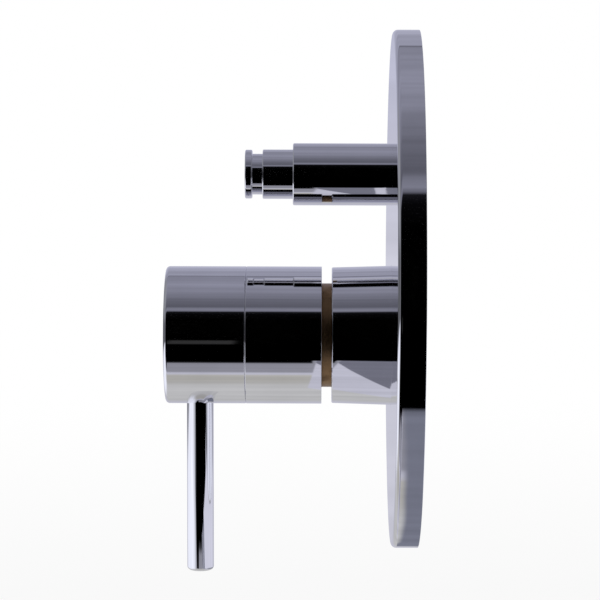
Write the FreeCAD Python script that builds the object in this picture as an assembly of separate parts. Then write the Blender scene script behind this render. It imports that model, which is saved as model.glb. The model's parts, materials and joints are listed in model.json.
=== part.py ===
import FreeCAD, Part
import math
import os

from FreeCAD import Vector

# Single-lever shower mixer with a pull-out diverter, everything in front of the finished wall.
# Lengths are millimetres. The origin is the centre of the trim plate on the wall plane, +Z is up,
# the front faces -Y, and a station is a distance in front of the wall plane.

# Trim plate and its wall gasket
plate_diameter = 180.0
plate_depth = 9.3
plate_front_wall = 1.8
plate_rim_wall = 1.6
plate_edge_round = 1.8
plate_back_bevel = 0.3
plate_hollow_round = 1.5
gasket_width = 4.0
gasket_thickness = 3.0
gasket_play = 0.1

# Places of the two axes on the plate
mixer_axis_z = -16.4
axis_spacing = 56.4

# Sleeves that stand out of the plate
mixer_sleeve_diameter = 48.6
mixer_sleeve_taper = 0.6
mixer_sleeve_reach = 20.7
mixer_sleeve_wall = 2.3
mixer_sleeve_lip = 2.6
diverter_sleeve_diameter = 21.5
diverter_sleeve_reach = 34.3
diverter_sleeve_wall = 1.0
diverter_sleeve_lip = 2.0
sleeve_bevel = 0.3
sleeve_hole_play = 0.15
sleeve_seal_section = 1.0
sleeve_seal_play = 0.03

# Handle: a ring on the cartridge stem, a cap screwed on the ring, and the lever rod in the cap
handle_diameter = 47.9
handle_gap = 3.5
ring_length = 26.3
ring_wall = 3.2
ring_web = 5.8
ring_hub_diameter = 17.0
ring_hub_length = 8.0
cap_length = 28.0
cap_front_round = 1.4
cap_front_wall = 4.5
cap_side_wall = 5.4
spigot_wall = 3.0
spigot_length = 5.0
seam_bevel = 0.3
thread_play = 0.1
lever_diameter = 9.4
lever_setback = 16.2
lever_reach = 83.8
lever_end_round = 1.2
lever_seat_depth = 4.2
lever_stud_diameter = 6.0
lever_stud_length = 8.5
lever_boss_wall = 3.6
lever_play = 0.06

# Brass body behind the plate
flange_thickness = 5.0
raft_play = 0.5
raft_margin = 1.3
neck_diameter = 36.2
neck_overlap = 3.5
pilot_height = 3.5
pilot_play = 0.2
fixing_spacing_x = 60.0
fixing_spacing_z = 86.0
fixing_centre_z = 7.0
fixing_hole_diameter = 5.5
fixing_lug_diameter = 13.0
bridge_width = 18.0
duct_width = 11.0
duct_height = 2.8
duct_front_wall = 1.2
inlet_spread = 6.0
inlet_drop = 4.0
outlet_rise = 5.0
port_diameter = 6.0
diverter_port_diameter = 7.0
wall_seal_width = 1.4
wall_seal_height = 1.1
seal_groove_play = 0.1
seal_shoulder = 0.6

# Ceramic disc cartridge
cartridge_diameter = 28.0
cartridge_play = 0.15
base_thickness = 5.0
base_rim = 2.5
base_spigot_play = 0.2
peg_diameter = 2.6
peg_length = 2.0
peg_circle_diameter = 23.0
peg_play = 0.1
port_seal_width = 1.2
port_seal_height = 1.0
housing_wall = 1.8
housing_shoulder = 3.0
housing_neck_wall = 1.9
housing_neck_length = 6.6
disc_thickness = 3.2
fixed_disc_play = 0.2
moving_disc_diameter = 18.8
disc_gap = 0.05
inlet_window_diameter = 4.0
outlet_window_diameter = 4.8
mixing_chamber_diameter = 15.2
mixing_chamber_edge = 1.5
mixing_chamber_depth = 1.6
carrier_diameter = 20.4
carrier_flats = 18.0
carrier_thickness = 6.5
carrier_floor = 1.0
carrier_gap = 0.3
ball_diameter = 5.0
ball_play = 0.3
guide_flange_thickness = 2.5
guide_flange_play = 0.4
guide_diameter = 16.0
guide_play = 0.06
guide_front_overhang = 1.2
drive_tab_width = 8.0
drive_tab_thickness = 2.0
drive_tab_play = 0.2
drive_tab_length = 5.5
stem_side = 7.0
stem_side_play = 0.1
stem_neck_diameter = 4.2
stem_shoulder_behind_pin = 5.0
stem_length_in_front = 23.5
socket_play = 0.05
pin_diameter = 3.0
pin_running_play = 0.05
pin_seat_play = 0.02
pin_end_play = 0.2
lift_angle = 7.0
slot_play = 0.4
nut_thread_diameter = 31.6
nut_bore_play = 0.3
nut_hex_flats = 27.0
nut_hex_height = 4.0
nut_recess_below = 1.3
handle_screw_diameter = 4.0
handle_screw_length = 12.0
handle_screw_head_diameter = 7.0
handle_screw_head_height = 3.2
handle_screw_key = 3.0
handle_screw_key_depth = 2.0
screw_play = 0.15

# Diverter: piston on a sprung stem, its bonnet, and the knob that pulls it
diverter_boss_play = 0.35
diverter_boss_length = 13.0
diverter_socket_depth = 1.2
chamber_diameter = 9.8
rear_seat_drop = 0.4
washer_thickness = 1.0
washer_diameter = 8.4
piston_thickness = 1.4
piston_diameter = 7.6
piston_screw_head_diameter = 5.4
piston_screw_head_height = 1.2
piston_screw_length = 5.0
piston_screw_slot = 0.8
diverter_travel = 7.0
travel_play = 0.05
seat_lip = 1.0
seat_hole_diameter = 6.0
bonnet_thread_play = 0.1
bonnet_flange_thickness = 3.5
bonnet_flange_play = 0.1
bonnet_flats = 16.0
bonnet_nose_diameter = 9.6
bonnet_nose_length = 12.0
bonnet_window_diameter = 3.0
bonnet_window_lift = 0.3
bonnet_window_count = 4
bonnet_washer_thickness = 0.8
spring_pocket_diameter = 7.0
spring_wire = 0.7
spring_turns = 5
spring_wire_sides = 8
spring_pocket_play = 0.2
spring_length = 12.6
diverter_stem_diameter = 4.0
stem_running_play = 0.05
stem_collar_diameter = 6.0
stem_collar_thickness = 1.0
stem_collar_lift = 0.5
stem_seal_section = 1.4
stem_seal_depth = 3.0
stem_thread_in_knob = 6.0
return_passage_width = 2.1
return_passage_wall = 1.0
return_passage_half_angle = 50.0
return_port_rise = 13.0
knob_collar_diameter = 17.1
knob_collar_length = 10.5
knob_groove_diameter = 14.1
knob_groove_length = 3.6
knob_head_diameter = 16.9
knob_head_length = 2.5
knob_head_round = 0.5
knob_edge_bevel = 0.25
knob_running_play = 0.08
knob_engagement = 3.0
knob_nose_play = 0.4

# Stations worked out from the sizes above
plate_inside = plate_depth - plate_front_wall
raft_front = plate_inside - raft_play
sleeve_front = plate_depth + mixer_sleeve_reach
handle_back = sleeve_front + handle_gap
seam = handle_back + ring_length
handle_front = seam + cap_length
lever_station = seam + lever_setback
neck_front = handle_back + neck_overlap
duct_front = raft_front - duct_front_wall
duct_back = duct_front - duct_height
pivot_station = handle_back
base_front = raft_front + base_thickness
fixed_disc_front = base_front + disc_thickness
moving_disc_back = fixed_disc_front + disc_gap
moving_disc_front = moving_disc_back + disc_thickness
carrier_front = moving_disc_front + carrier_thickness
ball_station = moving_disc_front + carrier_floor + ball_play + ball_diameter / 2
guide_back = carrier_front + carrier_gap
guide_flange_front = guide_back + guide_flange_thickness
shoulder_back = guide_flange_front + disc_gap * 2
shoulder_front = shoulder_back + housing_shoulder
housing_front = shoulder_front + housing_neck_length
guide_front = housing_front + guide_front_overhang
stem_front = pivot_station + stem_length_in_front
diverter_axis_z = mixer_axis_z + axis_spacing
rear_seat = duct_back - rear_seat_drop
piston_back = rear_seat + washer_thickness
piston_front = piston_back + piston_thickness
front_seat = piston_front + washer_thickness + diverter_travel + travel_play
window_back = front_seat + seat_lip + bonnet_window_lift
window_front = window_back + bonnet_window_diameter
diverter_boss_front = raft_front + diverter_boss_length
bonnet_flange_back = diverter_boss_front + bonnet_washer_thickness
bonnet_flange_front = bonnet_flange_back + bonnet_flange_thickness
bonnet_front = bonnet_flange_front + bonnet_nose_length
collar_back = front_seat + seat_lip + stem_collar_lift
collar_front = collar_back + stem_collar_thickness
spring_pocket_front = collar_front + spring_length
knob_sleeve_front = plate_depth + diverter_sleeve_reach
knob_back = knob_sleeve_front - diverter_travel - knob_engagement
knob_collar_front = knob_sleeve_front + knob_collar_length
knob_groove_front = knob_collar_front + knob_groove_length
knob_front = knob_groove_front + knob_head_length
knob_bore_front = bonnet_front + diverter_travel + knob_nose_play
diverter_stem_front = knob_bore_front + stem_thread_in_knob

# Radii that two pieces share
mixer_sleeve_bore = mixer_sleeve_diameter / 2 - mixer_sleeve_wall
diverter_sleeve_bore = diverter_sleeve_diameter / 2 - diverter_sleeve_wall
housing_bore = cartridge_diameter / 2 - housing_wall
ring_bore = handle_diameter / 2 - ring_wall
spigot_radius = ring_bore - thread_play
diverter_boss_radius = diverter_sleeve_bore - diverter_boss_play
return_passage_inner = chamber_diameter / 2 + return_passage_wall

FORWARD = Vector(0, -1, 0)
SIDEWAYS = Vector(1, 0, 0)
UP = Vector(0, 0, 1)
BEYOND = 1.0
TINY = 1e-6


def rounded_outline(corners):
    """Closed wire through (station, radius) corners. A third value rounds that corner with a tangent arc."""
    places = [Vector(corner[1], -corner[0], 0) for corner in corners]
    starts = []
    middles = []
    ends = []
    for index, corner in enumerate(corners):
        here = places[index]
        if len(corner) == 2:
            starts.append(here)
            middles.append(None)
            ends.append(here)
            continue
        radius = corner[2]
        backward = (places[index - 1] - here).normalize()
        onward = (places[(index + 1) % len(places)] - here).normalize()
        half_angle = backward.getAngle(onward) / 2
        inward = (backward + onward).normalize()
        starts.append(here + backward * (radius / math.tan(half_angle)))
        middles.append(here + inward * (radius / math.sin(half_angle) - radius))
        ends.append(here + onward * (radius / math.tan(half_angle)))
    edges = []
    for index in range(len(places)):
        if middles[index] is not None:
            edges.append(Part.Arc(starts[index], middles[index], ends[index]).toShape())
        following = starts[(index + 1) % len(places)]
        if ends[index].distanceToPoint(following) > TINY:
            edges.append(Part.makeLine(ends[index], following))
    return Part.Wire(edges)


def turned(corners, axis_z):
    """Solid turned about the fore-and-aft axis at height axis_z."""
    face = Part.Face(rounded_outline(corners))
    face.translate(Vector(0, 0, axis_z))
    solid = face.revolve(Vector(0, 0, axis_z), FORWARD, 360)
    if solid.Volume < 0:
        solid.reverse()
    return solid


def drum(back, front, radius, axis_z, x=0.0):
    """Round bar or round hole along the fore-and-aft direction."""
    return Part.makeCylinder(radius, front - back, Vector(x, -back, axis_z), FORWARD)


def tube(back, front, inner, outer, axis_z, x=0.0):
    """Plain ring with a rectangular section."""
    return drum(back, front, outer, axis_z, x).cut(drum(back, front, inner, axis_z, x))


def block(width, back, front, bottom, top, x=0.0):
    """Box centred on x, between two stations and two heights."""
    return Part.makeBox(width, front - back, top - bottom, Vector(x - width / 2, -front, bottom))


def cross_bar(station, height, radius, length):
    """Round bar or hole from side to side, centred on the middle plane."""
    return Part.makeCylinder(radius, length, Vector(-length / 2, -station, height), SIDEWAYS)


def upright(station, bottom, top, radius):
    """Round bar or hole along the vertical."""
    return Part.makeCylinder(radius, top - bottom, Vector(0, -station, bottom), UP)


def hexagon(back, front, across_flats, axis_z):
    """Hexagonal prism along the fore-and-aft direction."""
    corner = across_flats / math.sqrt(3)
    turns = [math.radians(60 * k) for k in range(7)]
    points = [Vector(corner * math.cos(t), -back, axis_z + corner * math.sin(t)) for t in turns]
    return Part.Face(Part.makePolygon(points)).extrude(FORWARD * (front - back))


def round_ring(station, middle_radius, section, axis_z):
    """Ring with a round section."""
    return Part.makeTorus(middle_radius, section / 2, Vector(0, -station, axis_z), FORWARD)


def inlet_places():
    """X and height of the hot and the cold inlet."""
    return [(-inlet_spread, mixer_axis_z - inlet_drop), (inlet_spread, mixer_axis_z - inlet_drop)]


def outlet_place():
    """X and height of the mixed water outlet under the cartridge."""
    return (0.0, mixer_axis_z + outlet_rise)


def peg_places():
    """X and height of the two pegs that keep the cartridge from turning."""
    reach = peg_circle_diameter / 2
    return [(-reach, mixer_axis_z), (reach, mixer_axis_z)]


def wall_ports():
    """X, height and radius of each port in the back of the body."""
    ports = [(x, z, port_diameter / 2) for x, z in inlet_places()]
    ports.append((0.0, diverter_axis_z, diverter_port_diameter / 2))
    ports.append((0.0, diverter_axis_z + return_port_rise, diverter_port_diameter / 2))
    return ports


# Trim


def cover_plate():
    """Round dish, open at the back, with a hole for each sleeve and a groove in each hole for its seal."""
    rim = plate_diameter / 2
    recess = rim - plate_rim_wall
    hollow = recess - gasket_width - gasket_play
    plate = turned(
        [
            (0, recess),
            (0, rim - plate_back_bevel),
            (plate_back_bevel, rim),
            (plate_depth, rim, plate_edge_round),
            (plate_depth, 0),
            (plate_inside, 0),
            (plate_inside, hollow, plate_hollow_round),
            (gasket_thickness, hollow),
            (gasket_thickness, recess),
        ],
        0,
    )
    for radius, axis_z in sleeve_holes():
        plate = plate.cut(drum(plate_inside - BEYOND, plate_depth + BEYOND, radius + sleeve_hole_play, axis_z))
        plate = plate.cut(seal_groove(radius, axis_z))
    return plate


def sleeve_holes():
    """Outer radius and height of each sleeve."""
    return [(mixer_sleeve_diameter / 2, mixer_axis_z), (diverter_sleeve_diameter / 2, diverter_axis_z)]


def seal_groove(radius, axis_z):
    """Groove in the middle of the plate's wall around a sleeve of that radius."""
    middle = (plate_inside + plate_depth) / 2
    half = sleeve_seal_section / 2 + sleeve_seal_play
    return drum(middle - half, middle + half, radius + sleeve_seal_section + 2 * sleeve_seal_play, axis_z)


def plate_gasket():
    """Flat foam ring in the back of the rim, flush with the wall."""
    outer = plate_diameter / 2 - plate_rim_wall - gasket_play
    return tube(0, gasket_thickness, outer - gasket_width + gasket_play, outer, 0)


def sleeve_seal(radius, axis_z):
    """Square-section rubber ring between a sleeve and the edge of its hole in the plate."""
    middle = (plate_inside + plate_depth) / 2
    half = sleeve_seal_section / 2
    inner = radius + sleeve_seal_play
    return tube(middle - half, middle + half, inner, inner + sleeve_seal_section, axis_z)


def mixer_sleeve_seal():
    return sleeve_seal(*sleeve_holes()[0])


def diverter_sleeve_seal():
    return sleeve_seal(*sleeve_holes()[1])


def mixer_sleeve():
    """Tube with a front lip that screws on the body's neck. It tapers a little from the plate to the handle."""
    outer = mixer_sleeve_diameter / 2
    slim = outer - mixer_sleeve_taper
    lip_bore = neck_diameter / 2 + thread_play
    return turned(
        [
            (raft_front, mixer_sleeve_bore),
            (raft_front, outer),
            (plate_depth, outer),
            (sleeve_front - sleeve_bevel, slim),
            (sleeve_front, slim - sleeve_bevel),
            (sleeve_front, lip_bore),
            (sleeve_front - mixer_sleeve_lip, lip_bore),
            (sleeve_front - mixer_sleeve_lip, mixer_sleeve_bore),
        ],
        mixer_axis_z,
    )


def diverter_sleeve():
    """Tube that screws on the bonnet's flange, with a front lip that guides the knob."""
    outer = diverter_sleeve_diameter / 2
    lip_bore = knob_collar_diameter / 2 + knob_running_play
    return turned(
        [
            (raft_front, diverter_sleeve_bore),
            (raft_front, outer),
            (knob_sleeve_front - sleeve_bevel, outer),
            (knob_sleeve_front, outer - sleeve_bevel),
            (knob_sleeve_front, lip_bore),
            (knob_sleeve_front - diverter_sleeve_lip, lip_bore),
            (knob_sleeve_front - diverter_sleeve_lip, diverter_sleeve_bore),
        ],
        diverter_axis_z,
    )


# Body


def fixing_places():
    """X and height of the four fixing screws."""
    half_x = fixing_spacing_x / 2
    half_z = fixing_spacing_z / 2
    return [(sx * half_x, fixing_centre_z + sz * half_z) for sz in (-1, 1) for sx in (-1, 1)]


def body_flange():
    """Two bars with the fixing holes in their round ends."""
    shape = None
    lug = fixing_lug_diameter / 2
    for side in (-1, 1):
        height = fixing_centre_z + side * fixing_spacing_z / 2
        bar = block(fixing_spacing_x, 0, flange_thickness, height - lug, height + lug)
        shape = bar if shape is None else shape.fuse(bar)
    for x, z in fixing_places():
        shape = shape.fuse(drum(0, flange_thickness, lug, z, x))
    return shape


def body_raft():
    """Thick part of the body that lies behind the plate and carries both sleeves."""
    raft = drum(0, raft_front, mixer_sleeve_diameter / 2 + raft_margin, mixer_axis_z)
    raft = raft.fuse(drum(0, raft_front, diverter_sleeve_diameter / 2 + raft_margin, diverter_axis_z))
    top = diverter_axis_z + return_port_rise
    raft = raft.fuse(block(bridge_width, 0, raft_front, mixer_axis_z, top))
    return raft.fuse(drum(0, raft_front, bridge_width / 2, top))


def return_passage():
    """Curved slot beside the chamber, from the front of the chamber back to the raft."""
    outer = return_passage_inner + return_passage_width
    front = window_front + bonnet_window_lift
    ring = tube(duct_back, front, return_passage_inner, outer, diverter_axis_z)
    limit = math.radians(return_passage_half_angle)
    far = outer * 2
    centre = Vector(0, -duct_back, diverter_axis_z)
    left = centre + Vector(-far * math.sin(limit), 0, far * math.cos(limit))
    right = centre + Vector(far * math.sin(limit), 0, far * math.cos(limit))
    wedge = Part.Face(Part.makePolygon([centre, left, right, centre])).extrude(FORWARD * (front - duct_back))
    return ring.common(wedge)


def body_waterways():
    """Everything that is cut out of the body for water."""
    cuts = [drum(-BEYOND, raft_front + BEYOND, port_diameter / 2, z, x) for x, z in inlet_places()]
    outlet_x, outlet_z = outlet_place()
    cuts.append(drum(duct_back, raft_front + BEYOND, port_diameter / 2, outlet_z, outlet_x))
    cuts.append(block(duct_width, duct_back, duct_front, outlet_z, diverter_axis_z))
    cuts.append(drum(rear_seat, diverter_boss_front + BEYOND, chamber_diameter / 2, diverter_axis_z))
    cuts.append(drum(-BEYOND, diverter_socket_depth, diverter_port_diameter / 2, diverter_axis_z))
    cuts.append(drum(-BEYOND, rear_seat + BEYOND, seat_hole_diameter / 2, diverter_axis_z))
    cuts.append(return_passage())
    passage = diverter_axis_z + return_passage_inner + return_passage_width / 2
    cuts.append(block(bonnet_window_diameter, window_back, window_front, diverter_axis_z, passage))
    port_z = diverter_axis_z + return_port_rise
    cuts.append(block(diverter_port_diameter, duct_back, duct_front, passage, port_z))
    cuts.append(drum(-BEYOND, duct_front, diverter_port_diameter / 2, port_z))
    return cuts


def valve_body():
    """One brass casting: flange, raft, mixer neck and diverter boss, with the waterways cut in."""
    body = body_flange().fuse(body_raft())
    pilot = mixer_sleeve_bore - pilot_play
    body = body.fuse(drum(0, raft_front + pilot_height, pilot, mixer_axis_z))
    body = body.fuse(drum(0, neck_front, neck_diameter / 2, mixer_axis_z))
    body = body.fuse(drum(0, diverter_boss_front, diverter_boss_radius, diverter_axis_z))
    seat = cartridge_diameter / 2 + cartridge_play
    body = body.cut(drum(raft_front, neck_front + BEYOND, seat, mixer_axis_z))
    thread = nut_thread_diameter / 2 + thread_play
    body = body.cut(drum(shoulder_front - nut_recess_below, neck_front + BEYOND, thread, mixer_axis_z))
    for cut in body_waterways():
        body = body.cut(cut)
    for x, z, radius in wall_ports():
        inner = radius + seal_shoulder
        outer = inner + wall_seal_width + 2 * seal_groove_play
        body = body.cut(tube(-BEYOND, wall_seal_height + seal_groove_play, inner, outer, z, x))
    for x, z in peg_places():
        depth = peg_length + peg_play
        body = body.cut(drum(raft_front - depth, raft_front + BEYOND, peg_diameter / 2 + peg_play, z, x))
    for x, z in fixing_places():
        body = body.cut(drum(-BEYOND, flange_thickness + BEYOND, fixing_hole_diameter / 2, z, x))
    return body.removeSplitter()


def wall_port_seals():
    """Four square-section rubber rings in the back face."""
    rings = []
    for x, z, radius in wall_ports():
        inner = radius + seal_shoulder + seal_groove_play
        rings.append(tube(0, wall_seal_height, inner, inner + wall_seal_width, z, x))
    return Part.makeCompound(rings)


# Cartridge


def cartridge_ports():
    """X and height of the three ways through the cartridge's base."""
    return inlet_places() + [outlet_place()]


def cartridge_base():
    """Plastic foot of the cartridge, with its pegs, ways and seal grooves."""
    spigot = housing_bore - base_spigot_play
    base = drum(raft_front, raft_front + base_rim, cartridge_diameter / 2, mixer_axis_z)
    base = base.fuse(drum(raft_front, base_front, spigot, mixer_axis_z))
    for x, z in peg_places():
        base = base.fuse(drum(raft_front - peg_length, raft_front + base_rim, peg_diameter / 2, z, x))
    for x, z in cartridge_ports():
        base = base.cut(drum(raft_front - BEYOND, base_front + BEYOND, outlet_window_diameter / 2, z, x))
        groove = port_seal_height + seal_groove_play
        outer = outlet_window_diameter / 2 + port_seal_width + 2 * seal_groove_play
        base = base.cut(drum(raft_front - BEYOND, raft_front + groove, outer, z, x))
    return base.removeSplitter()


def cartridge_port_seals():
    """Three rubber rings between the cartridge's foot and the body."""
    inner = outlet_window_diameter / 2
    outer = inner + port_seal_width
    rings = [tube(raft_front, raft_front + port_seal_height, inner, outer, z, x) for x, z in cartridge_ports()]
    return Part.makeCompound(rings)


def fixed_disc():
    """Lower ceramic disc with its three windows."""
    disc = drum(base_front, fixed_disc_front, housing_bore - fixed_disc_play, mixer_axis_z)
    for x, z in inlet_places():
        disc = disc.cut(drum(base_front - BEYOND, fixed_disc_front + BEYOND, inlet_window_diameter / 2, z, x))
    x, z = outlet_place()
    return disc.cut(drum(base_front - BEYOND, fixed_disc_front + BEYOND, outlet_window_diameter / 2, z, x))


def moving_disc():
    """Upper ceramic disc. The half-moon chamber in its back joins the windows when the disc slides down."""
    disc = drum(moving_disc_back, moving_disc_front, moving_disc_diameter / 2, mixer_axis_z)
    reach = mixing_chamber_diameter / 2
    depth = moving_disc_back + mixing_chamber_depth
    chamber = drum(moving_disc_back - BEYOND, depth, reach, mixer_axis_z)
    edge = mixer_axis_z - mixing_chamber_edge
    chamber = chamber.common(block(2 * reach, moving_disc_back - BEYOND, depth, edge, mixer_axis_z + reach))
    return disc.cut(chamber)


def disc_carrier():
    """Slider on the moving disc, with flats for the drive tabs and a socket for the stem's ball."""
    carrier = drum(moving_disc_front, carrier_front, carrier_diameter / 2, mixer_axis_z)
    half = carrier_diameter / 2
    flats = block(carrier_flats, moving_disc_front, carrier_front, mixer_axis_z - half, mixer_axis_z + half)
    carrier = carrier.common(flats)
    socket = ball_diameter / 2 + ball_play
    return carrier.cut(drum(moving_disc_front + carrier_floor, carrier_front + BEYOND, socket, mixer_axis_z))


def cartridge_housing():
    """Plastic cup over the discs, with the neck that the guide turns in."""
    bore = guide_diameter / 2 + guide_play
    neck = bore + housing_neck_wall
    outer = cartridge_diameter / 2
    return turned(
        [
            (raft_front + base_rim, housing_bore),
            (raft_front + base_rim, outer),
            (shoulder_front, outer),
            (shoulder_front, neck),
            (housing_front, neck),
            (housing_front, bore),
            (shoulder_back, bore),
            (shoulder_back, housing_bore),
        ],
        mixer_axis_z,
    )


def stem_slot(back, front):
    """Slot in the guide that lets the stem tilt."""
    reach = max(pivot_station - guide_back, guide_front - pivot_station)
    swing = reach * math.sin(math.radians(lift_angle))
    half = stem_side / 2 + swing + slot_play
    return block(stem_side + 2 * stem_side_play, back, front, mixer_axis_z - half, mixer_axis_z + half)


def spindle_guide():
    """Turning guide: flange, neck, slot for the stem, pin holes and the two drive tabs."""
    guide = drum(guide_back, guide_flange_front, housing_bore - guide_flange_play, mixer_axis_z)
    guide = guide.fuse(drum(guide_back, guide_front, guide_diameter / 2, mixer_axis_z))
    inner = carrier_flats / 2 + drive_tab_play
    for side in (-1, 1):
        bottom = mixer_axis_z - drive_tab_width / 2
        top = mixer_axis_z + drive_tab_width / 2
        middle = side * (inner + drive_tab_thickness / 2)
        back = guide_back - drive_tab_length
        guide = guide.fuse(block(drive_tab_thickness, back, guide_flange_front, bottom, top, middle))
    guide = guide.cut(stem_slot(guide_back - BEYOND, guide_front + BEYOND))
    return guide.cut(cross_bar(pivot_station, mixer_axis_z, pin_diameter / 2 + pin_seat_play, guide_diameter))


def pivot_pin():
    """Steel pin that the stem tilts on."""
    return cross_bar(pivot_station, mixer_axis_z, pin_diameter / 2, guide_diameter - 2 * pin_end_play)


def lever_stem():
    """Steel stem: square bar in front, eye for the pin, and a ball at the back in the carrier."""
    half = stem_side / 2
    back = pivot_station - stem_shoulder_behind_pin
    stem = block(stem_side, back, stem_front, mixer_axis_z - half, mixer_axis_z + half)
    stem = stem.fuse(drum(ball_station, back, stem_neck_diameter / 2, mixer_axis_z))
    ball = Part.makeSphere(ball_diameter / 2)
    ball.rotate(Vector(0, 0, 0), SIDEWAYS, 90)
    ball.translate(Vector(0, -ball_station, mixer_axis_z))
    stem = stem.fuse(ball)
    stem = stem.cut(cross_bar(pivot_station, mixer_axis_z, pin_diameter / 2 + pin_running_play, 2 * stem_side))
    tapped = handle_screw_diameter / 2 + thread_play
    tapped_back = seam - handle_screw_length - BEYOND
    return stem.cut(drum(tapped_back, stem_front + BEYOND, tapped, mixer_axis_z))


def cartridge_nut():
    """Brass nut that presses the cartridge on its seals."""
    bore = guide_diameter / 2 + guide_play + housing_neck_wall + nut_bore_play
    nut = drum(shoulder_front, neck_front, nut_thread_diameter / 2, mixer_axis_z)
    nut = nut.fuse(hexagon(neck_front, neck_front + nut_hex_height, nut_hex_flats, mixer_axis_z))
    return nut.cut(drum(shoulder_front - BEYOND, neck_front + nut_hex_height + BEYOND, bore, mixer_axis_z))


# Handle


def handle_ring():
    """Rear half of the handle: open at the back, web and square socket in front, and the cap's spigot."""
    outer = handle_diameter / 2
    hub = ring_hub_diameter / 2
    web_back = seam - ring_web
    ring = turned(
        [
            (handle_back, ring_bore),
            (handle_back, outer - seam_bevel),
            (handle_back + seam_bevel, outer),
            (seam - seam_bevel, outer),
            (seam, outer - seam_bevel),
            (seam, spigot_radius),
            (seam + spigot_length, spigot_radius),
            (seam + spigot_length, spigot_radius - spigot_wall),
            (seam, spigot_radius - spigot_wall),
            (seam, 0),
            (web_back - ring_hub_length, 0),
            (web_back - ring_hub_length, hub),
            (web_back, hub),
            (web_back, ring_bore),
        ],
        mixer_axis_z,
    )
    half = stem_side / 2 + socket_play
    socket_back = web_back - ring_hub_length - BEYOND
    socket = block(2 * half, socket_back, stem_front + socket_play, mixer_axis_z - half, mixer_axis_z + half)
    hole = handle_screw_diameter / 2 + screw_play
    return ring.cut(socket).cut(drum(stem_front, seam + BEYOND, hole, mixer_axis_z))


def handle_screw():
    """Socket head screw through the ring's web into the end of the stem."""
    head_front = seam + handle_screw_head_height
    screw = drum(seam - handle_screw_length, seam, handle_screw_diameter / 2, mixer_axis_z)
    screw = screw.fuse(drum(seam, head_front, handle_screw_head_diameter / 2, mixer_axis_z))
    key = hexagon(head_front - handle_screw_key_depth, head_front + BEYOND, handle_screw_key, mixer_axis_z)
    return screw.cut(key)


def lever_seat_height():
    """Height of the shoulder in the cap that the lever rod stops on."""
    return mixer_axis_z - handle_diameter / 2 + lever_seat_depth


def handle_cap():
    """Front half of the handle: round front edge, hollow behind, and a boss for the lever's stud."""
    outer = handle_diameter / 2
    recess = spigot_radius + thread_play
    hollow = outer - cap_side_wall
    recess_front = seam + spigot_length + thread_play
    hollow_front = handle_front - cap_front_wall
    cap = turned(
        [
            (seam, recess),
            (seam, outer - seam_bevel),
            (seam + seam_bevel, outer),
            (handle_front, outer, cap_front_round),
            (handle_front, 0),
            (hollow_front, 0),
            (hollow_front, hollow),
            (recess_front, hollow),
            (recess_front, recess),
        ],
        mixer_axis_z,
    )
    seat = lever_seat_height()
    boss_radius = lever_stud_diameter / 2 + lever_boss_wall
    boss_top = seat + lever_stud_length + lever_play
    cap = cap.fuse(upright(lever_station, seat, boss_top, boss_radius))
    cap = cap.cut(upright(lever_station, seat - BEYOND, boss_top + BEYOND, lever_stud_diameter / 2 + thread_play))
    below = mixer_axis_z - outer - BEYOND
    return cap.cut(upright(lever_station, below, seat, lever_diameter / 2 + lever_play)).removeSplitter()


def lever():
    """Round rod with a rounded lower end and a stud at the top that screws in the cap."""
    seat = lever_seat_height()
    bottom = mixer_axis_z - lever_reach
    rod = upright(lever_station, bottom, seat, lever_diameter / 2)
    rod = rod.makeFillet(lever_end_round, [e for e in rod.Edges if e.BoundBox.ZMax < bottom + TINY])
    return rod.fuse(upright(lever_station, seat, seat + lever_stud_length, lever_stud_diameter / 2))


# Diverter


def diverter_bonnet():
    """Brass plug of the chamber: front seat, windows, spring pocket, flange with flats, and nose."""
    tube_radius = chamber_diameter / 2 - bonnet_thread_play
    flange = diverter_sleeve_bore - bonnet_flange_play
    nose = bonnet_nose_diameter / 2
    stem_hole = diverter_stem_diameter / 2 + stem_running_play
    pocket = spring_pocket_diameter / 2
    bonnet = turned(
        [
            (front_seat, seat_hole_diameter / 2),
            (front_seat, tube_radius),
            (bonnet_flange_back, tube_radius),
            (bonnet_flange_back, flange),
            (bonnet_flange_front, flange),
            (bonnet_flange_front, nose),
            (bonnet_front - knob_edge_bevel, nose),
            (bonnet_front, nose - knob_edge_bevel),
            (bonnet_front, stem_hole),
            (spring_pocket_front, stem_hole),
            (spring_pocket_front, pocket),
            (front_seat + seat_lip, pocket),
            (front_seat + seat_lip, seat_hole_diameter / 2),
        ],
        diverter_axis_z,
    )
    window_station = (window_back + window_front) / 2
    for index in range(bonnet_window_count):
        hole = upright(window_station, diverter_axis_z, diverter_axis_z + chamber_diameter, bonnet_window_diameter / 2)
        hole.rotate(Vector(0, 0, diverter_axis_z), FORWARD, 360 * index / bonnet_window_count)
        bonnet = bonnet.cut(hole)
    wide = 2 * flange
    sides = block(bonnet_flats, front_seat, bonnet_front, diverter_axis_z - wide, diverter_axis_z + wide)
    bonnet = bonnet.common(sides)
    groove = tube(*stem_seal_span(), stem_hole - stem_running_play, stem_seal_reach(), diverter_axis_z)
    return bonnet.cut(groove)


def stem_seal_span():
    """Stations of the back and front of the stem seal's groove."""
    front = bonnet_front - stem_seal_depth
    return front - stem_seal_section - 2 * stem_running_play, front


def stem_seal_reach():
    """Radius of the bottom of the stem seal's groove."""
    return diverter_stem_diameter / 2 + stem_running_play + stem_seal_section + stem_running_play


def stem_seal():
    """Round rubber ring that seals the diverter stem in the bonnet's nose."""
    back, front = stem_seal_span()
    middle = diverter_stem_diameter / 2 + stem_running_play + stem_seal_section / 2
    return round_ring((back + front) / 2, middle, stem_seal_section, diverter_axis_z)


def bonnet_washer():
    """Flat washer between the body's boss and the bonnet's flange."""
    return tube(diverter_boss_front, bonnet_flange_back, chamber_diameter / 2, diverter_boss_radius, diverter_axis_z)


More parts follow.
